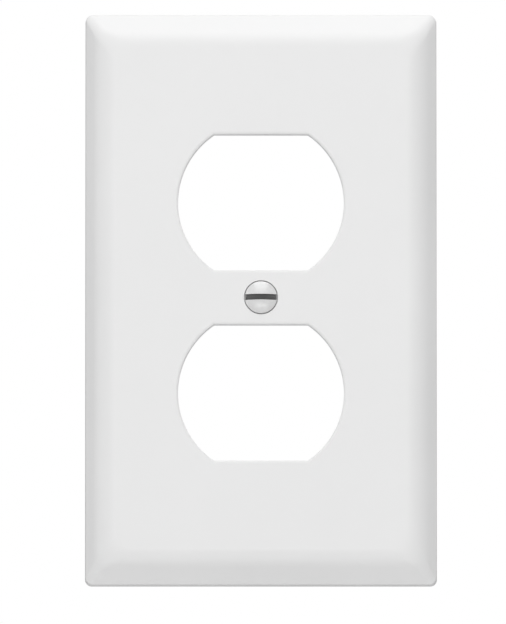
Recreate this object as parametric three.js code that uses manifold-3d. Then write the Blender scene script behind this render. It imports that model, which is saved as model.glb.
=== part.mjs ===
// A one-gang duplex wall plate: the moulded cover of a double wall outlet, the oval-head screw that fastens it,
// and the thin washer that keeps the screw in it. Millimetres. +Z is up, the front faces -Y, the back rim lies in
// the wall plane Y = 0, and the screw's axis is the Y axis. "Height" below is the distance in front of the wall.

import * as THREE from 'three';
import { mergeVertices } from 'three/addons/utils/BufferGeometryUtils.js';
import Module from 'manifold-3d';

const wasm = await Module();
wasm.setup();

// ---- Driving dimensions ----

const degree = Math.PI / 180;

const plate = {
  width: 71.4,
  length: 116.8,
  height: 6.2, // of the front face
  sideHeight: 2.55, // where the side would meet the slope if their edge were sharp
  sideDraft: 0.12,
  endSlope: 5.0, // from the outline to where the slope would meet the face, at the top and bottom
  sideSlope: 3.4, // and along the long sides
  edgeRadius: 0.4, // between the side and the slope
  blendRadius: 6.2, // between the slope and the face
  cornerRadius: 1.4, // of the outline
  cornerGrowth: 0.3, // added to a ring's corner radius for each millimetre of its inset
  wall: 2.3, // thickness of the face and the slope
  rim: 1.8, // thickness of the side where it meets the wall
};

const opening = {
  spacing: 38.9, // between the two openings' centres, as on every duplex device
  width: 33.7, // across the round sides
  flat: 27.8, // between the two flats
  cornerRadius: 0.5, // where a flat meets a round side
  lipWidth: 0.6, // of the rolled edge, along the face
  lipDepth: 0.3,
  collarOffset: 0.9, // from the opening's edge to the collar round it, behind the face
  collar: 1.0, // thickness of the collar
};

const rib = { thickness: 1.0, height: 2.4, reach: 9.0 };

const pad = { radius: 4.9, height: 2.0 }; // the boss round the screw hole, and the collars, end at this height

const hole = {
  radius: 2.1,
  mouthRadius: 3.45, // of the countersink
  mouthDepth: 0.45, // of the straight recess above the countersink
  coneAngle: 82 * degree, // included
  pocketRadius: 3.8, // the washer's pocket in the back of the boss
  pocketDepth: 0.7,
};

const screw = {
  threadRadius: 1.75, // number 6 thread
  pitch: 25.4 / 32,
  threadDepth: 0.48,
  threadStart: 3.4, // height at which the thread fades out below the head
  tip: -7.05,
  tipTaper: 0.9,
  headRadius: 3.27,
  headTop: 5.9, // height at which the head's cone ends
  edge: 0.35, // straight edge between the cone and the dome
  dome: 1.05,
  slotWidth: 1.15,
  slotDepth: 1.5, // below the top of the dome
};

const washer = { outerRadius: 3.6, boreRadius: 1.82, thickness: 0.6, travel: 3.0 };

const roundSides = 64; // segments in a full turn of the hole, the head and the boss

// ---- Closed solids ----

function solid(geometry) {
  geometry.deleteAttribute('normal');
  geometry.deleteAttribute('uv');
  const merged = mergeVertices(geometry, 1e-4);
  return new wasm.Manifold(new wasm.Mesh({
    numProp: 3,
    vertProperties: new Float32Array(merged.getAttribute('position').array),
    triVerts: new Uint32Array(merged.index.array),
  }));
}

function geometryOf(body) {
  const mesh = body.getMesh();
  const geometry = new THREE.BufferGeometry();
  geometry.setAttribute('position', new THREE.BufferAttribute(new Float32Array(mesh.vertProperties), 3));
  geometry.setIndex(new THREE.BufferAttribute(new Uint32Array(mesh.triVerts), 1));
  geometry.computeVertexNormals();
  return geometry;
}

// A solid through a pile of layers { outline, height }, lowest first. All outlines have the same number of points,
// counter-clockwise seen from the front.
function pile(layers) {
  const base = layers[0].outline;
  const last = layers.length - 1;
  const shape = new THREE.Shape(base);
  const geometry = new THREE.ExtrudeGeometry(shape, { depth: last, steps: last, bevelEnabled: false });
  const position = geometry.getAttribute('position');
  for (let i = 0; i < position.count; i += 1) {
    const here = new THREE.Vector2(position.getX(i), position.getY(i));
    const corner = base.findIndex((point) => point.distanceTo(here) < 1e-4);
    const layer = layers[Math.round(position.getZ(i))];
    const point = layer.outline[corner];
    position.setXYZ(i, point.x, -layer.height, point.y);
  }
  return solid(geometry);
}

// A solid turned about the screw's axis from a profile of [radius, height], lowest first.
function turned(profile, sides = roundSides) {
  const points = profile.map(([radius, height]) => new THREE.Vector2(radius, height));
  const geometry = new THREE.LatheGeometry(points, sides);
  geometry.rotateX(180 * degree);
  return solid(geometry);
}

function block(width, length, low, high) {
  const geometry = new THREE.BoxGeometry(width, high - low, length);
  geometry.translate(0, -(low + high) / 2, 0);
  return solid(geometry);
}

// ---- Outlines and profiles ----

function arc(centreX, centreY, radius, from, to, steps) {
  const points = [];
  for (let i = 0; i <= steps; i += 1) {
    const angle = from + (to - from) * i / steps;
    points.push(new THREE.Vector2(centreX + radius * Math.cos(angle), centreY + radius * Math.sin(angle)));
  }
  return points;
}

// A line through corners { x, y, radius, steps }, each rounded by its radius where it has one.
function roundedLine(corners) {
  return corners.flatMap((corner, i) => {
    const here = new THREE.Vector2(corner.x, corner.y);
    if (!corner.radius) return [here];
    const back = new THREE.Vector2(corners[i - 1].x, corners[i - 1].y).sub(here).normalize();
    const ahead = new THREE.Vector2(corners[i + 1].x, corners[i + 1].y).sub(here).normalize();
    const half = Math.acos(back.dot(ahead)) / 2;
    const middle = back.clone().add(ahead).normalize();
    const centre = middle.multiplyScalar(corner.radius / Math.sin(half)).add(here);
    const reach = corner.radius / Math.tan(half);
    const from = back.multiplyScalar(reach).add(here).sub(centre).angle();
    const turn = (Math.PI - 2 * half) * Math.sign(ahead.cross(back));
    return arc(centre.x, centre.y, corner.radius, from, from - turn, corner.steps);
  });
}

// The plate's outline, drawn in by an inset along the long sides and another at the ends.
function plateOutline(sideInset, endInset) {
  const cornerRadius = plate.cornerRadius + plate.cornerGrowth * (sideInset + endInset) / 2;
  const x = plate.width / 2 - sideInset - cornerRadius;
  const y = plate.length / 2 - endInset - cornerRadius;
  const quarter = 90 * degree;
  return [[x, y], [-x, y], [-x, -y], [x, -y]].flatMap(
    ([centreX, centreY], i) => arc(centreX, centreY, cornerRadius, i * quarter, (i + 1) * quarter, 6),
  );
}

// One opening's outline, let out by an offset: two round sides and two flats, with small round corners.
function openingOutline(offset, centreY) {
  const radius = opening.width / 2 + offset;
  const flat = opening.flat / 2 + offset;
  const small = opening.cornerRadius;
  const cornerX = Math.sqrt((radius - small) ** 2 - (flat - small) ** 2);
  const cornerY = flat - small;
  const start = Math.atan2(cornerY, cornerX);
  const quarter = 90 * degree;
  const corner = (signX, signY, from, to) => arc(signX * cornerX, centreY + signY * cornerY, small, from, to, 3);
  return [
    ...arc(0, centreY, radius, -start, start, 22).slice(0, -1),
    ...corner(1, 1, start, quarter),
    ...corner(-1, 1, quarter, 2 * quarter - start),
    ...arc(0, centreY, radius, 2 * quarter - start, 2 * quarter + start, 22).slice(1, -1),
    ...corner(-1, -1, 2 * quarter + start, 3 * quarter),
    ...corner(1, -1, 3 * quarter, 4 * quarter - start).slice(0, -1),
  ];
}

const ceiling = plate.height - plate.wall;

// The outside of the plate from its back rim to its face, as x = inset and y = height.
function outsideProfile(slopeWidth, fineness = 1) {
  return roundedLine([
    { x: 0, y: 0 },
    { x: plate.sideDraft, y: plate.sideHeight, radius: plate.edgeRadius, steps: 3 * fineness },
    { x: slopeWidth, y: plate.height, radius: plate.blendRadius, steps: 8 * fineness },
    { x: slopeWidth + 8, y: plate.height },
  ]);
}

// The hollow behind it, one wall thickness in from the slope and the face.
function insideProfile(slopeWidth) {
  const slope = Math.atan2(plate.height - plate.sideHeight, slopeWidth);
  const lineInset = plate.wall * Math.sin(slope);
  const lineHeight = plate.sideHeight - plate.wall * Math.cos(slope);
  const startInset = plate.rim + plate.sideDraft;
  return [
    new THREE.Vector2(plate.rim, -1),
    new THREE.Vector2(plate.rim, 0),
    new THREE.Vector2(startInset, lineHeight + (startInset - lineInset) * Math.tan(slope)),
    new THREE.Vector2(lineInset + (ceiling - lineHeight) / Math.tan(slope), ceiling),
  ];
}

function insetAt(profile, height) {
  const above = profile.findIndex((point) => point.y > height - 1e-6);
  const high = profile[above];
  const low = profile[above - 1];
  if (!low || high.y - height < 1e-6) return high.x;
  return low.x + (high.x - low.x) * (height - low.y) / (high.y - low.y);
}

// The long sides and the ends have slopes of different widths that rise together.
function bevelled(profileOf) {
  const sides = profileOf(plate.sideSlope);
  const ends = profileOf(plate.endSlope, 12);
  const last = sides.length - 1;
  return pile(sides.map((point, i) => ({
    outline: plateOutline(point.x, i === last ? ends.at(-1).x : insetAt(ends, point.y)),
    height: point.y,
  })));
}

// ---- Wall plate ----

const openingCentres = [-opening.spacing / 2, opening.spacing / 2];
const bite = 0.5; // how far a rib or collar reaches into the wall behind the face, to become one moulding with it

function collar(centreY) {
  const ring = [opening.collarOffset + opening.collar, opening.collarOffset].map((offset, i) => {
    const outline = openingOutline(offset, centreY);
    return pile([{ outline, height: pad.height - i }, { outline, height: ceiling + bite + i }]);
  });
  return ring[0].subtract(ring[1]);
}

// Cuts one opening, with a rolled lip at the face.
function openingCutter(centreY) {
  const lip = arc(1, 0, 1, 180 * degree, 90 * degree, 4);
  return pile([
    { outline: openingOutline(0, centreY), height: -1 },
    ...lip.map((point) => ({
      outline: openingOutline(point.x * opening.lipWidth, centreY),
      height: plate.height + (point.y - 1) * opening.lipDepth,
    })),
    { outline: openingOutline(opening.lipWidth, centreY), height: plate.height + 1 },
  ]);
}

// Stiffening ribs on the back of the face: one above and one below the openings, each joined to its opening's
// collar and to the plate's end by a short upright.
function ribs() {
  const collarEnd = opening.spacing / 2 + opening.flat / 2 + opening.collarOffset + opening.collar;
  const crossAt = collarEnd + rib.reach;
  const crossLength = plate.width - 2 * insideProfile(plate.sideSlope).at(-1).x;
  const uprightEnd = plate.length / 2 - insideProfile(plate.endSlope).at(-1).x;
  const uprightStart = collarEnd - opening.collar / 2;
  const low = rib.height;
  const high = ceiling + bite;
  return [-1, 1].flatMap((side) => [
    block(crossLength, rib.thickness, low, high).translate([0, 0, side * crossAt]),
    block(rib.thickness, uprightEnd - uprightStart, low, high)
      .translate([0, 0, side * (uprightStart + uprightEnd) / 2]),
  ]);
}

function holeCutter() {
  const mouth = plate.height - hole.mouthDepth;
  const cone = (hole.mouthRadius - hole.radius) / Math.tan(hole.coneAngle / 2);
  const pocketTop = pad.height + hole.pocketDepth;
  return turned([
    [0, -1],
    [hole.pocketRadius, -1],
    [hole.pocketRadius, pocketTop],
    [hole.radius, pocketTop],
    [hole.radius, mouth - cone],
    [hole.mouthRadius, mouth],
    [hole.mouthRadius, plate.height + 1],
    [0, plate.height + 1],
  ]);
}

function wallPlate() {
  const top = ceiling + bite;
  let body = bevelled(outsideProfile).subtract(bevelled(insideProfile));
  body = body.add(turned([[0, pad.height], [pad.radius, pad.height], [pad.radius, top], [0, top]]));
  openingCentres.forEach((centreY) => {
    body = body.add(collar(centreY));
  });
  ribs().forEach((bar) => {
    body = body.add(bar);
  });
  openingCentres.forEach((centreY) => {
    body = body.subtract(openingCutter(centreY));
  });
  return body.subtract(holeCutter());
}

// ---- Screw ----

// How far the surface lies inside the thread's crest at a height and a turn about the axis. The thread fades out
// at the tip and below the head.
function threadDepthAt(height, turn) {
  const phase = height / screw.pitch - turn;
  const fromCrest = Math.abs(phase - Math.round(phase)) * 2;
  const fadeIn = THREE.MathUtils.smoothstep(height, screw.tip, screw.tip + screw.tipTaper);
  const fadeOut = 1 - THREE.MathUtils.smoothstep(height, screw.threadStart - screw.pitch, screw.threadStart);
  return screw.threadDepth * fromCrest * fadeIn * fadeOut;
}

function mountingScrew() {
  const ringsPerPitch = 4;
  const sides = 24;
  const threadEnd = screw.tip + screw.tipTaper;
  const rings = Math.ceil((screw.threadStart - threadEnd) / screw.pitch * ringsPerPitch);
  const neck = screw.headTop - (screw.headRadius - screw.threadRadius) / Math.tan(hole.coneAngle / 2);
  const profile = [[0, screw.tip], [screw.threadRadius - screw.threadDepth, screw.tip]];
  for (let i = 0; i <= rings; i += 1) {
    profile.push([screw.threadRadius, threadEnd + (screw.threadStart - threadEnd) * i / rings]);
  }
  profile.push([screw.threadRadius, neck], [0, neck]);
  const points = profile.map(([radius, height]) => new THREE.Vector2(radius, height));
  const geometry = new THREE.LatheGeometry(points, sides);
  const position = geometry.getAttribute('position');
  for (let i = 0; i < position.count; i += 1) {
    const height = position.getY(i);
    const radius = Math.hypot(position.getX(i), position.getZ(i));
    if (radius > screw.threadRadius - 1e-3) {
      const turn = Math.floor(i / points.length) / sides;
      const scale = 1 - threadDepthAt(height, turn) / radius;
      position.setX(i, position.getX(i) * scale);
      position.setZ(i, position.getZ(i) * scale);
    }
  }
  geometry.rotateX(180 * degree);
  return solid(geometry).add(screwHead(neck)).subtract(slot());
}

// The countersunk cone and the dome over it.
function screwHead(neck) {
  const rimRadius = screw.headRadius;
  const domeBase = screw.headTop + screw.edge;
  const domeRadius = (rimRadius ** 2 + screw.dome ** 2) / (2 * screw.dome);
  const domeHalfAngle = Math.asin(rimRadius / domeRadius);
  const domeCentre = domeBase + screw.dome - domeRadius;
  const dome = arc(0, domeCentre, domeRadius, 90 * degree - domeHalfAngle, 90 * degree, 6).slice(0, -1);
  const overlap = 0.2;
  return turned([
    [0, neck - overlap],
    [screw.threadRadius, neck - overlap],
    [screw.threadRadius, neck],
    [rimRadius, screw.headTop],
    ...dome.map((point) => [point.x, point.y]),
    [0, domeBase + screw.dome],
  ]);
}

function slot() {
  const top = screw.headTop + screw.edge + screw.dome;
  return block(4 * screw.threadRadius + 2, screw.slotWidth, top - screw.slotDepth, top + 1);
}

// ---- Retaining washer ----

// It waits one travel behind the floor of its pocket, and lets the screw come forward until it meets that floor.
function retainingWasher() {
  const front = pad.height + hole.pocketDepth - washer.travel;
  const back = front - washer.thickness;
  return turned([
    [washer.boreRadius, back],
    [washer.outerRadius, back],
    [washer.outerRadius, front],
    [washer.boreRadius, front],
    [washer.boreRadius, back],
  ], 48);
}

// ---- Assembly ----

function named(name, body, colour, roughness, metalness) {
  const material = new THREE.MeshStandardMaterial({ color: colour, roughness, metalness });
  const mesh = new THREE.Mesh(geometryOf(body), material);
  mesh.name = name;
  return mesh;
}

const assembly = new THREE.Group();
const fastener = new THREE.Group();
fastener.add(named('mounting_screw', mountingScrew(), 0xd6d6d6, 0.3, 1));
fastener.add(named('screw_retainer', retainingWasher(), 0x8a8782, 0.85, 0));
assembly.add(named('wall_plate', wallPlate(), 0xf0f0f0, 0.4, 0));
assembly.add(fastener);

export default assembly;
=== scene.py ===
import math

import bmesh
import bpy
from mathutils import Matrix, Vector

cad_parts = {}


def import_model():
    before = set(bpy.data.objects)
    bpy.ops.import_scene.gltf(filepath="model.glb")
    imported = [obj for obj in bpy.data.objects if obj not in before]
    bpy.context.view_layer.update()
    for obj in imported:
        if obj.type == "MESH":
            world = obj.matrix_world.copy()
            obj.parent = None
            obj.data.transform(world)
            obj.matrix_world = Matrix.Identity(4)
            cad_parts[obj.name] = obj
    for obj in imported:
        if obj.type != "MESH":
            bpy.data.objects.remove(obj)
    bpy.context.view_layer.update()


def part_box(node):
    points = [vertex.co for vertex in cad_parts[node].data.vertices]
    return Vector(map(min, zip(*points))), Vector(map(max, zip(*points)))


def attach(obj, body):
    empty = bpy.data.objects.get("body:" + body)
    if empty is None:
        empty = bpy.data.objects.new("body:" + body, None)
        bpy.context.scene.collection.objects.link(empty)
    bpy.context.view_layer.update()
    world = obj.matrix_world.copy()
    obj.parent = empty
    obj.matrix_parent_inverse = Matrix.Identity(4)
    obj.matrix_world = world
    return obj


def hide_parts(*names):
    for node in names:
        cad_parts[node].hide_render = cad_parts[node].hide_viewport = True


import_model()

# A one-gang duplex wall plate, its oval-head screw and the washer that keeps the screw in the plate.
# Shapes are drawn in millimetres and become metres when a piece is made. +Z is up and the front faces -Y.
# The back rim lies in the wall plane Y = 0, and "height" is the distance in front of the wall.

MM = 0.001
QUARTER = math.radians(90)

# ---- Sizes, in millimetres ----

plate_low, plate_high = (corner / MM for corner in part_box("wall_plate"))
screw_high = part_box("mounting_screw")[1] / MM
washer_low, washer_high = (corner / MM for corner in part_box("screw_retainer"))

PLATE_WIDTH = plate_high.x - plate_low.x
PLATE_LENGTH = plate_high.z - plate_low.z
FACE = -plate_low.y  # height of the front face
WALL = 2.3  # thickness behind the face and the slope
CEILING = FACE - WALL  # height of the hollow's flat inside
SIDE_HEIGHT = 2.55
SIDE_DRAFT = 0.12
END_SLOPE = 5.0  # from the outline to where the slope would meet the face, at the top and bottom
SIDE_SLOPE = 3.4  # and along the long sides
EDGE_RADIUS = 0.4
BLEND_RADIUS = 6.2
CORNER_RADIUS = 1.4
CORNER_GROWTH = 0.3  # a ring's corner radius grows by this for each millimetre of inset
RIM = 1.8

OPENING_SPACING = 38.9
OPENING_WIDTH = 33.7
OPENING_FLAT = 27.8
OPENING_CORNER = 0.5
LIP_WIDTH = 0.6
LIP_DEPTH = 0.3
COLLAR_OFFSET = 0.9
COLLAR = 1.0

PAD_RADIUS = 4.9
PAD_HEIGHT = 2.0
HOLE_RADIUS = 2.1
MOUTH_RADIUS = 3.45
MOUTH_DEPTH = 0.45
CONE_HALF_ANGLE = math.radians(41)
POCKET_RADIUS = 3.8
POCKET_DEPTH = 0.7

CLEAR = 1  # how far a cutter reaches past the surface that it cuts
BITE = 0.5  # how far a rib or collar reaches into the wall behind the face

RIB_THICKNESS = 1.0
RIB_HEIGHT = 2.4
RIB_REACH = 9.0

TIP = -screw_high.y
THREAD_RADIUS = 1.75
THREAD_DEPTH = 0.48
THREAD_PITCH = 25.4 / 32
THREAD_START = 3.4
HEAD_RADIUS = 3.27
HEAD_TOP = 5.9
HEAD_EDGE = 0.35
HEAD_ROUND = 0.2  # between the head's edge and its dome
DOME = 1.05
DOME_TOP = HEAD_TOP + HEAD_EDGE + DOME
SLOT_WIDTH = 1.15
SLOT_DEPTH = 1.5
SLOT_FLOOR = DOME_TOP - SLOT_DEPTH
DOME_RADIUS = (HEAD_RADIUS ** 2 + DOME ** 2) / (2 * DOME)
DOME_CENTRE = DOME_TOP - DOME_RADIUS

WASHER_RADIUS = washer_high.x
WASHER_BORE = 1.82
WASHER_FRONT = -washer_low.y
WASHER_BACK = -washer_high.y

# ---- Outlines and profiles ----


def arc(centre_x, centre_y, radius, start, end, steps):
    points = []
    for i in range(steps + 1):
        angle = start + (end - start) * i / steps
        points.append(Vector((centre_x + radius * math.cos(angle), centre_y + radius * math.sin(angle))))
    return points


def rounded_line(corners):
    """A line through corners (x, y) or (x, y, radius, steps), each rounded where it has a radius."""
    points = []
    for i, corner in enumerate(corners):
        here = Vector(corner[:2])
        if len(corner) == 2:
            points.append(here)
            continue
        radius, steps = corner[2:]
        back = (Vector(corners[i - 1][:2]) - here).normalized()
        ahead = (Vector(corners[i + 1][:2]) - here).normalized()
        half = math.acos(max(-1.0, min(1.0, back.dot(ahead)))) / 2
        centre = here + (back + ahead).normalized() * (radius / math.sin(half))
        first = here + back * (radius / math.tan(half)) - centre
        start = math.atan2(first.y, first.x)
        turn = math.copysign(math.pi - 2 * half, back.x * ahead.y - back.y * ahead.x)
        points += arc(centre.x, centre.y, radius, start, start - turn, steps)
    return points


def rounded_rectangle(width, length, radius, steps):
    x = width / 2 - radius
    y = length / 2 - radius
    points = []
    for i, (centre_x, centre_y) in enumerate([(x, y), (-x, y), (-x, -y), (x, -y)]):
        points += arc(centre_x, centre_y, radius, i * QUARTER, (i + 1) * QUARTER, steps)
    return points


def plate_outline(side_inset, end_inset):
    radius = CORNER_RADIUS + CORNER_GROWTH * (side_inset + end_inset) / 2
    return rounded_rectangle(PLATE_WIDTH - 2 * side_inset, PLATE_LENGTH - 2 * end_inset, radius, 20)


def opening_outline(offset, centre_y, side_steps=72, corner_steps=6):
    """One opening's outline let out by an offset: two round sides and two flats with small round corners."""
    radius = OPENING_WIDTH / 2 + offset
    flat = OPENING_FLAT / 2 + offset
    corner_x = math.sqrt((radius - OPENING_CORNER) ** 2 - (flat - OPENING_CORNER) ** 2)
    corner_y = flat - OPENING_CORNER
    start = math.atan2(corner_y, corner_x)

    def corner(sign_x, sign_y, first, last):
        return arc(sign_x * corner_x, centre_y + sign_y * corner_y, OPENING_CORNER, first, last, corner_steps)

    points = arc(0, centre_y, radius, -start, start, side_steps)[:-1]
    points += corner(1, 1, start, QUARTER)
    points += corner(-1, 1, QUARTER, 2 * QUARTER - start)
    points += arc(0, centre_y, radius, 2 * QUARTER - start, 2 * QUARTER + start, side_steps)[1:-1]
    points += corner(-1, -1, 2 * QUARTER + start, 3 * QUARTER)
    points += corner(1, -1, 3 * QUARTER, 4 * QUARTER - start)[:-1]
    return points


# ---- Closed meshes ----


def new_object(name, bm):
    bmesh.ops.recalc_face_normals(bm, faces=bm.faces)
    mesh = bpy.data.meshes.new(name)
    bm.to_mesh(mesh)
    bm.free()
    piece = bpy.data.objects.new(name, mesh)
    bpy.context.scene.collection.objects.link(piece)
    return piece


def join_rings(bm, rings):
    """Faces between each ring of vertices and the next. A ring of one vertex closes to a point."""
    for below, above in zip(rings, rings[1:]):
        sides = max(len(below), len(above))
        for i in range(sides):
            k = (i + 1) % sides
            low = [below[i % len(below)], below[k % len(below)]]
            high = [above[k % len(above)], above[i % len(above)]]
            bm.faces.new(list(dict.fromkeys(low + high)))


def cap_ends(bm, rings):
    bm.faces.new(rings[0])
    bm.faces.new(rings[-1])


def loft(layers):
    """A closed mesh through layers of (outline, height). All the outlines have as many points."""
    bm = bmesh.new()
    rings = [[bm.verts.new((p.x, -height, p.y)) for p in outline] for outline, height in layers]
    join_rings(bm, rings)
    cap_ends(bm, rings)
    return new_object("loft", bm)


def round_ring(bm, radius_at, height, sides):
    """A ring about the screw's axis. radius_at(turn) gives its radius at each part of a turn."""
    ring = []
    for i in range(sides):
        angle = 2 * math.pi * i / sides
        radius = radius_at(i / sides)
        ring.append(bm.verts.new((radius * math.cos(angle), -height, radius * math.sin(angle))))
    return ring


def turned(profile, sides):
    """A closed mesh turned about the screw's axis from points of (radius, height). Both ends are on the axis,
    or the profile is a closed ring that stays clear of it."""
    bm = bmesh.new()
    rings = []
    for radius, height in profile:
        if radius > 0:
            rings.append(round_ring(bm, lambda turn: radius, height, sides))
        else:
            rings.append([bm.verts.new((0, -height, 0))])
    starts_off_axis = profile[0][0] > 0
    if starts_off_axis:
        rings.append(rings[0])
    join_rings(bm, rings)
    return new_object("turned", bm)


def combine(target, other, operation):
    """Joins other to target or cuts it away, and removes other."""
    modifier = target.modifiers.new("combine", "BOOLEAN")
    modifier.solver = "EXACT"
    modifier.operation = operation
    modifier.object = other
    bpy.context.view_layer.update()
    graph = bpy.context.evaluated_depsgraph_get()
    result = bpy.data.meshes.new_from_object(target.evaluated_get(graph))
    target.modifiers.clear()
    old = target.data
    target.data = result
    bpy.data.meshes.remove(old)
    bpy.data.meshes.remove(other.data)


def finish_piece(piece, name, materials, sharp_angle=35):
    """Brings a piece from millimetres to metres, names it, and gives it its shading and materials."""
    piece.name = name
    piece.data.name = name
    for vertex in piece.data.vertices:
        vertex.co *= MM
    piece.data.materials.clear()
    for material in materials:
        piece.data.materials.append(material)
    piece.data.shade_smooth()
    piece.data.set_sharp_from_angle(angle=math.radians(sharp_angle))
    weighted = piece.modifiers.new("weighted_normals", "WEIGHTED_NORMAL")
    weighted.keep_sharp = True
    weighted.mode = "FACE_AREA"
    return piece


# ---- Wall plate ----


def outside_profile(slope_width, fineness=1):
    """The outside from the back rim to the face, as (inset, height)."""
    face_reach = 8  # how far past the slope the face is drawn, which leaves room for the blend
    return rounded_line([
        (0, 0),
        (SIDE_DRAFT, SIDE_HEIGHT, EDGE_RADIUS, 8 * fineness),
        (slope_width, FACE, BLEND_RADIUS, 32 * fineness),
        (slope_width + face_reach, FACE),
    ])


def inside_profile(slope_width, fineness=1):
    """The hollow, one wall thickness in from the slope and the face, as (inset, height)."""
    foot_radius = 0.4
    ceiling_radius = 2.0
    ceiling_reach = 4
    slope = math.atan2(FACE - SIDE_HEIGHT, slope_width)
    line_inset = WALL * math.sin(slope)
    line_height = SIDE_HEIGHT - WALL * math.cos(slope)
    start_inset = RIM + SIDE_DRAFT
    start_height = line_height + (start_inset - line_inset) * math.tan(slope)
    ceiling_inset = line_inset + (CEILING - line_height) / math.tan(slope)
    return rounded_line([
        (RIM, -CLEAR),
        (RIM, 0),
        (start_inset, start_height, foot_radius, 5 * fineness),
        (ceiling_inset, CEILING, ceiling_radius, 8 * fineness),
        (ceiling_inset + ceiling_reach, CEILING),
    ])


def inset_at(profile, height):
    """The inset at which a profile reaches a height."""
    for low, high in zip(profile, profile[1:]):
        if low.y <= height < high.y:
            return low.x + (high.x - low.x) * (height - low.y) / (high.y - low.y)
    return next(point.x for point in profile if point.y > height - 1e-6)


def bevelled(profile_of):
    """A closed mesh whose long sides and ends have slopes of different widths that rise together. The long
    sides' profile sets the heights, so the ends' profile is drawn finely and read off at those heights."""
    sides = profile_of(SIDE_SLOPE)
    ends = profile_of(END_SLOPE, fineness=12)
    layers = [(plate_outline(p.x, inset_at(ends, p.y)), p.y) for p in sides[:-1]]
    layers.append((plate_outline(sides[-1].x, ends[-1].x), sides[-1].y))
    return loft(layers)


def plate_shell():
    shell = bevelled(outside_profile)
    combine(shell, bevelled(inside_profile), "DIFFERENCE")
    return shell


def raised(outline_at, top, draft=0.08, radius=0.18):
    """A rib, collar or boss on the back of the face. outline_at(offset) gives its outline. It widens by a
    draft towards the face, and its free edge is rounded."""
    layers = [(outline_at(p.x), p.y) for p in arc(-radius, top + radius, radius, 3 * QUARTER, 4 * QUARTER, 4)]
    layers.append((outline_at(draft), CEILING + BITE))
    return loft(layers)


def collar(centre_y):
    """The raised band round one opening, with its inside cut out."""
    outer = COLLAR_OFFSET + COLLAR
    body = raised(lambda offset: opening_outline(outer + offset, centre_y), PAD_HEIGHT)
    edge = 0.15
    draft = 0.05
    inner = COLLAR_OFFSET
    bore = loft([
        (opening_outline(inner + CLEAR, centre_y), PAD_HEIGHT - CLEAR + edge),
        (opening_outline(inner + edge, centre_y), PAD_HEIGHT),
        (opening_outline(inner, centre_y), PAD_HEIGHT + edge),
        (opening_outline(inner - draft, centre_y), CEILING + BITE + CLEAR),
    ])
    combine(body, bore, "DIFFERENCE")
    return body


def opening_cutter(centre_y):
    """Cuts one opening, rounds it over at the face and breaks its edge at the back."""
    back_edge = 0.15
    lip = arc(1, 0, 1, 2 * QUARTER, QUARTER, 12)
    layers = [
        (opening_outline(back_edge + CLEAR, centre_y), CEILING - CLEAR),
        (opening_outline(back_edge, centre_y), CEILING),
        (opening_outline(0, centre_y), CEILING + back_edge),
    ]
    layers += [(opening_outline(p.x * LIP_WIDTH, centre_y), FACE + (p.y - 1) * LIP_DEPTH) for p in lip]
    layers.append((opening_outline(LIP_WIDTH, centre_y), FACE + CLEAR))
    return loft(layers)


def rib_bar(width, length, middle):
    """A bar with its middle at this distance above the screw."""
    corner_radius = 0.3

    def outline_at(offset):
        grown = rounded_rectangle(width + 2 * offset, length + 2 * offset, corner_radius, 4)
        return [point + Vector((0, middle)) for point in grown]

    return raised(outline_at, RIB_HEIGHT)


def rib_bars():
    """Bars above and below the openings: one across, and one upright from the collar to the plate's end."""
    collar_end = OPENING_SPACING / 2 + OPENING_FLAT / 2 + COLLAR_OFFSET + COLLAR
    across = PLATE_WIDTH - 2 * inset_at(inside_profile(SIDE_SLOPE), CEILING)
    upright_start = collar_end - COLLAR / 2
    upright_end = PLATE_LENGTH / 2 - inset_at(inside_profile(END_SLOPE), CEILING)
    bars = []
    for side in (-1, 1):
        bars.append(rib_bar(across, RIB_THICKNESS, side * (collar_end + RIB_REACH)))
        upright_middle = side * ((upright_start + upright_end) / 2)
        bars.append(rib_bar(RIB_THICKNESS, upright_end - upright_start, upright_middle))
    return bars


def hole_cutter():
    """The screw's hole: the washer's pocket, the bore, the countersink's cone and its mouth."""
    mouth = FACE - MOUTH_DEPTH
    cone = (MOUTH_RADIUS - HOLE_RADIUS) / math.tan(CONE_HALF_ANGLE)
    pocket_top = PAD_HEIGHT + POCKET_DEPTH
    edge = 0.07
    profile = [(0, -CLEAR), (POCKET_RADIUS + edge, -CLEAR), (POCKET_RADIUS + edge, PAD_HEIGHT)]
    profile += [(POCKET_RADIUS, PAD_HEIGHT + edge), (POCKET_RADIUS, pocket_top)]
    profile += [(HOLE_RADIUS, pocket_top), (HOLE_RADIUS, mouth - cone), (MOUTH_RADIUS, mouth)]
    lip = arc(MOUTH_RADIUS + edge, FACE - edge, edge, 2 * QUARTER, QUARTER, 5)
    profile += [(p.x, p.y) for p in lip]
    profile += [(MOUTH_RADIUS + edge, FACE + CLEAR), (0, FACE + CLEAR)]
    return turned(profile, 128)


def moulding_marks():
    """The shallow round marks that a mould's ejector pins leave on the back of the face."""
    radius = 2.0
    depth = 0.07
    column = 26.0
    row = 38.0
    marks = []
    for x in (-column, column):
        for y in (-row, 0.0, row):
            outline = arc(x, y, radius, 0, 4 * QUARTER, 40)[:-1]
            marks.append(loft([(outline, CEILING - CLEAR), (outline, CEILING + depth)]))
    return marks


def wall_plate(materials):
    body = plate_shell()
    pad = raised(lambda offset: arc(0, 0, PAD_RADIUS + offset, 0, 4 * QUARTER, 96)[:-1], PAD_HEIGHT)
    combine(body, pad, "UNION")
    centres = (-OPENING_SPACING / 2, OPENING_SPACING / 2)
    for bar in rib_bars():
        combine(body, bar, "UNION")
    for centre_y in centres:
        combine(body, collar(centre_y), "UNION")
    for centre_y in centres:
        combine(body, opening_cutter(centre_y), "DIFFERENCE")
    combine(body, hole_cutter(), "DIFFERENCE")
    for mark in moulding_marks():
        combine(body, mark, "DIFFERENCE")
    return finish_piece(body, "plate_moulding", materials)


# ---- Screw ----


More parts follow.
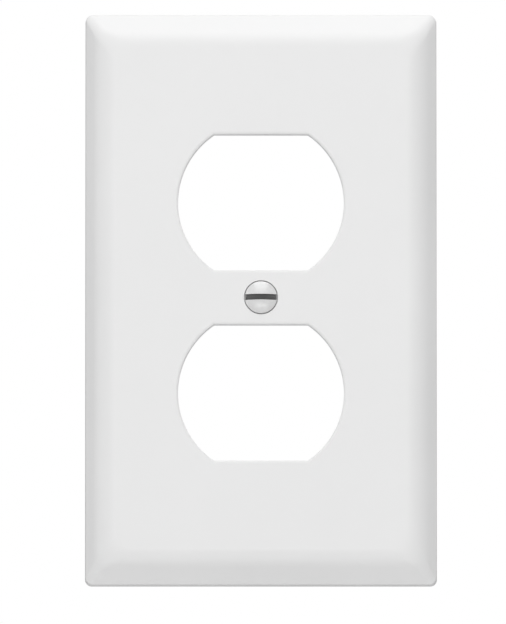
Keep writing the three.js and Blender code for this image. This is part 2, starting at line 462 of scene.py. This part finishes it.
def thread_inset(height, turn):
    """How far the surface lies inside the thread's crest. The crest and the root are both flat, and the
    thread fades out over its last pitch, under the head."""
    crest_end = 1 / 16  # in pitches from the middle of the crest
    root_start = 3 / 8
    phase = height / THREAD_PITCH - turn
    from_crest = abs(phase - round(phase))
    flank = (from_crest - crest_end) / (root_start - crest_end)
    groove = THREAD_DEPTH * max(0.0, min(1.0, flank))
    fade_out = max(0.0, min(1.0, (THREAD_START - height) / THREAD_PITCH))
    return groove * fade_out


def screw_solid():
    """The shank with its helical thread, the countersunk cone and the dome, in one closed mesh."""
    sides = 96
    rings_per_pitch = 18
    tip_taper = 0.8
    neck_round = 0.4
    corner_round = 0.06
    hidden = 3  # the dome's outermost points, which the rounding at its rim takes the place of
    neck = HEAD_TOP - (HEAD_RADIUS - THREAD_RADIUS) / math.tan(CONE_HALF_ANGLE)
    dome_base = HEAD_TOP + HEAD_EDGE
    dome_half = math.asin(HEAD_RADIUS / DOME_RADIUS)
    rim_turn = QUARTER - dome_half
    bm = bmesh.new()
    rings = [[bm.verts.new((0, -TIP, 0))]]
    count = math.ceil((THREAD_START - TIP) / THREAD_PITCH * rings_per_pitch)
    root = THREAD_RADIUS - THREAD_DEPTH
    for i in range(count + 1):
        height = TIP + (THREAD_START - TIP) * i / count
        taper = root + (height - TIP) / tip_taper * THREAD_DEPTH
        rings.append(round_ring(
            bm, lambda turn: min(taper, THREAD_RADIUS - thread_inset(height, turn)), height, sides))
    dome = arc(0, DOME_CENTRE, DOME_RADIUS, rim_turn, QUARTER, 28)
    shoulder = rounded_line([
        (THREAD_RADIUS, THREAD_START),
        (THREAD_RADIUS, neck, neck_round, 6),
        (HEAD_RADIUS, HEAD_TOP, corner_round, 4),
        (HEAD_RADIUS, dome_base, HEAD_ROUND, 8),
        dome[hidden],
    ])[1:-1]
    for point in shoulder + dome[hidden + 1:-1]:
        rings.append(round_ring(bm, lambda turn: point.x, point.y, sides))
    rings.append([bm.verts.new((0, -DOME_TOP, 0))])
    join_rings(bm, rings)
    return new_object("screw", bm)


def slot_cutter():
    """The saw cut across the head. Its floor is hollow along its length, as a saw leaves it."""
    saw_radius = 14.0
    half_length = 4.5
    steps = 24
    floor_edge = 0.15
    hollow = 0.5  # the part of the saw's curve that shows in the floor
    half = SLOT_WIDTH / 2
    top = DOME_TOP + CLEAR
    bm = bmesh.new()
    sections = []
    for i in range(steps + 1):
        x = half_length * (2 * i / steps - 1)
        low = SLOT_FLOOR - (saw_radius - math.sqrt(saw_radius ** 2 - x ** 2)) * hollow
        section = arc(half - floor_edge, low + floor_edge, floor_edge, 3 * QUARTER, 4 * QUARTER, 4)
        section += [Vector((half, top)), Vector((-half, top))]
        section += arc(-half + floor_edge, low + floor_edge, floor_edge, 2 * QUARTER, 3 * QUARTER, 4)
        sections.append([bm.verts.new((x, -p.y, p.x)) for p in section])
    join_rings(bm, sections)
    cap_ends(bm, sections)
    return new_object("slot", bm)


def round_slot_edges(piece):
    """Breaks the sharp edges where the slot meets the dome."""
    bevel = 0.05
    sharp = 0.7
    half = SLOT_WIDTH / 2
    bm = bmesh.new()
    bm.from_mesh(piece.data)
    edges = []
    for edge in bm.edges:
        middle = (edge.verts[0].co + edge.verts[1].co) / 2
        on_wall = all(abs(abs(vertex.co.z) - half) < 1e-4 for vertex in edge.verts)
        on_dome = -middle.y > HEAD_TOP + HEAD_EDGE
        if on_wall and on_dome and edge.is_manifold and edge.calc_face_angle() > sharp:
            edges.append(edge)
    bmesh.ops.bevel(
        bm, geom=edges, offset=bevel, offset_type="OFFSET", segments=3, profile=0.5, affect="EDGES")
    bm.to_mesh(piece.data)
    bm.free()


def in_painted_shade_slot(face):
    """Whether a face is part of the slot's floor, or of its walls below the enamel at their top. These faces
    get a dark grey that is partly bare steel and partly painted shade for the slot's depth.
    """
    enamel_depth = 0.15
    x, y, z = face.center / MM
    if abs(z) > SLOT_WIDTH / 2 + 0.001 or -y < SLOT_FLOOR - 0.5:
        return False
    dome = DOME_CENTRE + math.sqrt(DOME_RADIUS ** 2 - math.hypot(x, z) ** 2)
    on_wall = abs(face.normal.z) > 0.99 and -y < dome - enamel_depth
    on_floor = -y < SLOT_FLOOR + 0.3
    return on_wall or on_floor


def mounting_screw(enamel, steel_with_painted_shade, thread_metal):
    bare_slot_shade_index = 1
    thread_index = 2
    body = screw_solid()
    combine(body, slot_cutter(), "DIFFERENCE")
    round_slot_edges(body)
    piece = finish_piece(body, "screw_body", [enamel, steel_with_painted_shade, thread_metal], sharp_angle=50)
    # The slot's faces get the dark steel that carries painted shade, and the faces below the head get the
    # plated steel.
    for face in piece.data.polygons:
        height = -face.center.y / MM
        if in_painted_shade_slot(face):
            face.material_index = bare_slot_shade_index
        elif height < HEAD_TOP - 0.05:
            face.material_index = thread_index
    return piece


# ---- Retaining washer ----


def retaining_washer(materials):
    edge = 0.08
    section = [
        (WASHER_BORE + edge, WASHER_BACK),
        (WASHER_RADIUS - edge, WASHER_BACK),
        (WASHER_RADIUS, WASHER_BACK + edge),
        (WASHER_RADIUS, WASHER_FRONT - edge),
        (WASHER_RADIUS - edge, WASHER_FRONT),
        (WASHER_BORE + edge, WASHER_FRONT),
        (WASHER_BORE, WASHER_FRONT - edge),
        (WASHER_BORE, WASHER_BACK + edge),
    ]
    return finish_piece(turned(section, 96), "retaining_washer", materials)


# ---- Materials ----


NOISE_LOW = 0.3  # noise mostly stays between these
NOISE_HIGH = 0.7


def node_material(name):
    material = bpy.data.materials.new(name)
    material.use_nodes = True
    return material, material.node_tree, material.node_tree.nodes["Principled BSDF"]


def noise_node(tree, scale, detail=4.0, stretch=(1, 1, 1)):
    """Noise in the object's own coordinates, in cycles a metre."""
    place = tree.nodes.new("ShaderNodeTexCoord")
    mapping = tree.nodes.new("ShaderNodeMapping")
    mapping.inputs["Scale"].default_value = stretch
    texture = tree.nodes.new("ShaderNodeTexNoise")
    texture.inputs["Scale"].default_value = scale
    texture.inputs["Detail"].default_value = detail
    tree.links.new(place.outputs["Object"], mapping.inputs["Vector"])
    tree.links.new(mapping.outputs["Vector"], texture.inputs["Vector"])
    return texture.outputs["Fac"]


def spread(tree, value, low, high):
    """Brings a noise value to a range."""
    ranged = tree.nodes.new("ShaderNodeMapRange")
    ranged.inputs["From Min"].default_value = NOISE_LOW
    ranged.inputs["From Max"].default_value = NOISE_HIGH
    ranged.inputs["To Min"].default_value = low
    ranged.inputs["To Max"].default_value = high
    tree.links.new(value, ranged.inputs["Value"])
    return ranged.outputs["Result"]


def tint(tree, value, dark, light):
    """Mixes two colours by a noise value."""
    ramp = tree.nodes.new("ShaderNodeValToRGB")
    ramp.color_ramp.elements[0].position = NOISE_LOW
    ramp.color_ramp.elements[0].color = (*dark, 1)
    ramp.color_ramp.elements[1].position = NOISE_HIGH
    ramp.color_ramp.elements[1].color = (*light, 1)
    tree.links.new(value, ramp.inputs["Fac"])
    return ramp.outputs["Color"]


def bump(tree, shader, layers):
    """Bump from layers of (height value, depth in metres), one after the other."""
    normal = None
    for value, depth in layers:
        node = tree.nodes.new("ShaderNodeBump")
        node.inputs["Strength"].default_value = 1.0
        node.inputs["Distance"].default_value = depth
        tree.links.new(value, node.inputs["Height"])
        if normal is not None:
            tree.links.new(normal, node.inputs["Normal"])
        normal = node.outputs["Normal"]
    tree.links.new(normal, shader.inputs["Normal"])


def grey(level):
    return (level, level, level)


def moulded_plastic():
    material, tree, shader = node_material("plate_plastic")
    clouds = noise_node(tree, 45.0, detail=3.0)
    grain = noise_node(tree, 1400.0, detail=2.0)
    tree.links.new(tint(tree, clouds, grey(0.815), grey(0.835)), shader.inputs["Base Color"])
    tree.links.new(spread(tree, clouds, 0.36, 0.42), shader.inputs["Roughness"])
    bump(tree, shader, [(clouds, 0.00004), (grain, 0.0000012)])
    shader.inputs["IOR"].default_value = 1.49
    return material


def head_enamel():
    material, tree, shader = node_material("screw_enamel")
    peel = noise_node(tree, 1600.0, detail=2.0)
    tree.links.new(tint(tree, peel, grey(0.735), grey(0.765)), shader.inputs["Base Color"])
    tree.links.new(spread(tree, peel, 0.16, 0.26), shader.inputs["Roughness"])
    bump(tree, shader, [(peel, 0.000004)])
    shader.inputs["Coat Weight"].default_value = 0.5
    shader.inputs["Coat Roughness"].default_value = 0.06
    return material


# A dark grey for the slot: partly the bare steel's own colour, partly painted shade for the inside of the
# deep, narrow slot.
def bare_steel_and_painted_shade():
    material, tree, shader = node_material("slot_bare_steel_painted_shade")
    scratches = noise_node(tree, 900.0, detail=3.0, stretch=(0.2, 6, 6))
    tree.links.new(tint(tree, scratches, grey(0.15), grey(0.19)), shader.inputs["Base Color"])
    tree.links.new(spread(tree, scratches, 0.5, 0.7), shader.inputs["Roughness"])
    bump(tree, shader, [(scratches, 0.000006)])
    shader.inputs["Metallic"].default_value = 0.2
    return material


def plated_steel():
    material, tree, shader = node_material("thread_steel")
    mottle = noise_node(tree, 1200.0, detail=4.0, stretch=(1, 4, 1))
    tree.links.new(tint(tree, mottle, grey(0.52), grey(0.64)), shader.inputs["Base Color"])
    tree.links.new(spread(tree, mottle, 0.26, 0.42), shader.inputs["Roughness"])
    bump(tree, shader, [(mottle, 0.000004)])
    shader.inputs["Metallic"].default_value = 1.0
    return material


def pressed_fibre():
    material, tree, shader = node_material("washer_fibre")
    fibres = noise_node(tree, 2200.0, detail=6.0, stretch=(1, 3, 1))
    tree.links.new(tint(tree, fibres, (0.27, 0.26, 0.245), (0.42, 0.41, 0.385)), shader.inputs["Base Color"])
    tree.links.new(spread(tree, fibres, 0.78, 0.92), shader.inputs["Roughness"])
    bump(tree, shader, [(fibres, 0.00002)])
    return material


# ---- Stage, lights and camera ----


def floor():
    """A pale floor, far enough below that the object casts no shadow in the picture."""
    size = 3.0
    drop = 0.6
    bm = bmesh.new()
    corners = [(-size, -size), (size, -size), (size, size), (-size, size)]
    bm.faces.new([bm.verts.new((x, y, -drop)) for x, y in corners])
    piece = new_object("floor", bm)
    material, tree, shader = node_material("floor_paper")
    texture = noise_node(tree, 30.0)
    tree.links.new(tint(tree, texture, grey(0.80), grey(0.82)), shader.inputs["Base Color"])
    shader.inputs["Roughness"].default_value = 0.9
    piece.data.materials.append(material)


def world(light_level):
    """A white surround. The camera sees it as pure white, and it lights the object at light_level."""
    scene_world = bpy.data.worlds.new("studio")
    scene_world.use_nodes = True
    bpy.context.scene.world = scene_world
    tree = scene_world.node_tree
    background = tree.nodes["Background"]
    rays = tree.nodes.new("ShaderNodeLightPath")
    level = tree.nodes.new("ShaderNodeMapRange")
    level.inputs["To Min"].default_value = light_level
    level.inputs["To Max"].default_value = 1.0
    tree.links.new(rays.outputs["Is Camera Ray"], level.inputs["Value"])
    tree.links.new(level.outputs["Result"], background.inputs["Strength"])
    background.inputs["Color"].default_value = (1, 1, 1, 1)


def softbox(name, azimuth, elevation, distance, width, height, watts):
    """An area light that faces the plate. Azimuth 0 is straight in front and positive is to the right."""
    data = bpy.data.lights.new(name, "AREA")
    data.shape = "RECTANGLE"
    data.size = width
    data.size_y = height
    data.energy = watts
    lamp = bpy.data.objects.new(name, data)
    a = math.radians(azimuth)
    e = math.radians(elevation)
    towards = Vector((math.sin(a) * math.cos(e), -math.cos(a) * math.cos(e), math.sin(e)))
    lamp.location = towards * distance
    lamp.rotation_mode = "QUATERNION"
    lamp.rotation_quaternion = towards.to_track_quat("Z", "Y")
    bpy.context.scene.collection.objects.link(lamp)


def camera():
    """Looks at the plate square on from a little below, from so far off that its sides don't converge."""
    elevation = math.radians(-7)
    distance = 4.4
    frame_height = 0.1268  # what the picture's height takes in, at the plate
    aim = Vector((-0.00162, 0, -0.00226))
    data = bpy.data.cameras.new("camera")
    data.sensor_width = 36.0
    data.lens = data.sensor_width * distance / frame_height
    data.dof.use_dof = False
    data.clip_end = 20.0
    eye = bpy.data.objects.new("camera", data)
    back = Vector((0, -math.cos(elevation), math.sin(elevation)))
    eye.location = aim + back * distance
    eye.rotation_mode = "QUATERNION"
    eye.rotation_quaternion = (-back).to_track_quat("-Z", "Y")
    bpy.context.scene.collection.objects.link(eye)
    bpy.context.scene.camera = eye


# ---- The scene ----

camera()
floor()
world(0.375)
softbox("overhead", 0, 85, 0.9, 0.8, 0.5, 2.0)
softbox("high_key", 0, 60, 1.0, 0.8, 0.5, 2.7)
softbox("key", 0, 38, 1.0, 0.8, 0.4, 1.05)
softbox("front_fill", 0, 8, 1.2, 0.5, 0.5, 2.0)
softbox("low_fill", 0, -35, 1.0, 0.9, 0.5, 3.3)
softbox("left_fill", -65, 5, 1.0, 0.5, 0.9, 0.65)
softbox("back_light", 140, 35, 1.0, 0.7, 0.7, 3.5)
bpy.context.scene.view_settings.view_transform = "Standard"

plate = wall_plate([moulded_plastic()])
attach(plate, "plate")
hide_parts("wall_plate")

screw = mounting_screw(head_enamel(), bare_steel_and_painted_shade(), plated_steel())
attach(screw, "screw")
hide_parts("mounting_screw")

washer = retaining_washer([pressed_fibre()])
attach(washer, "retainer")
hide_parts("screw_retainer")
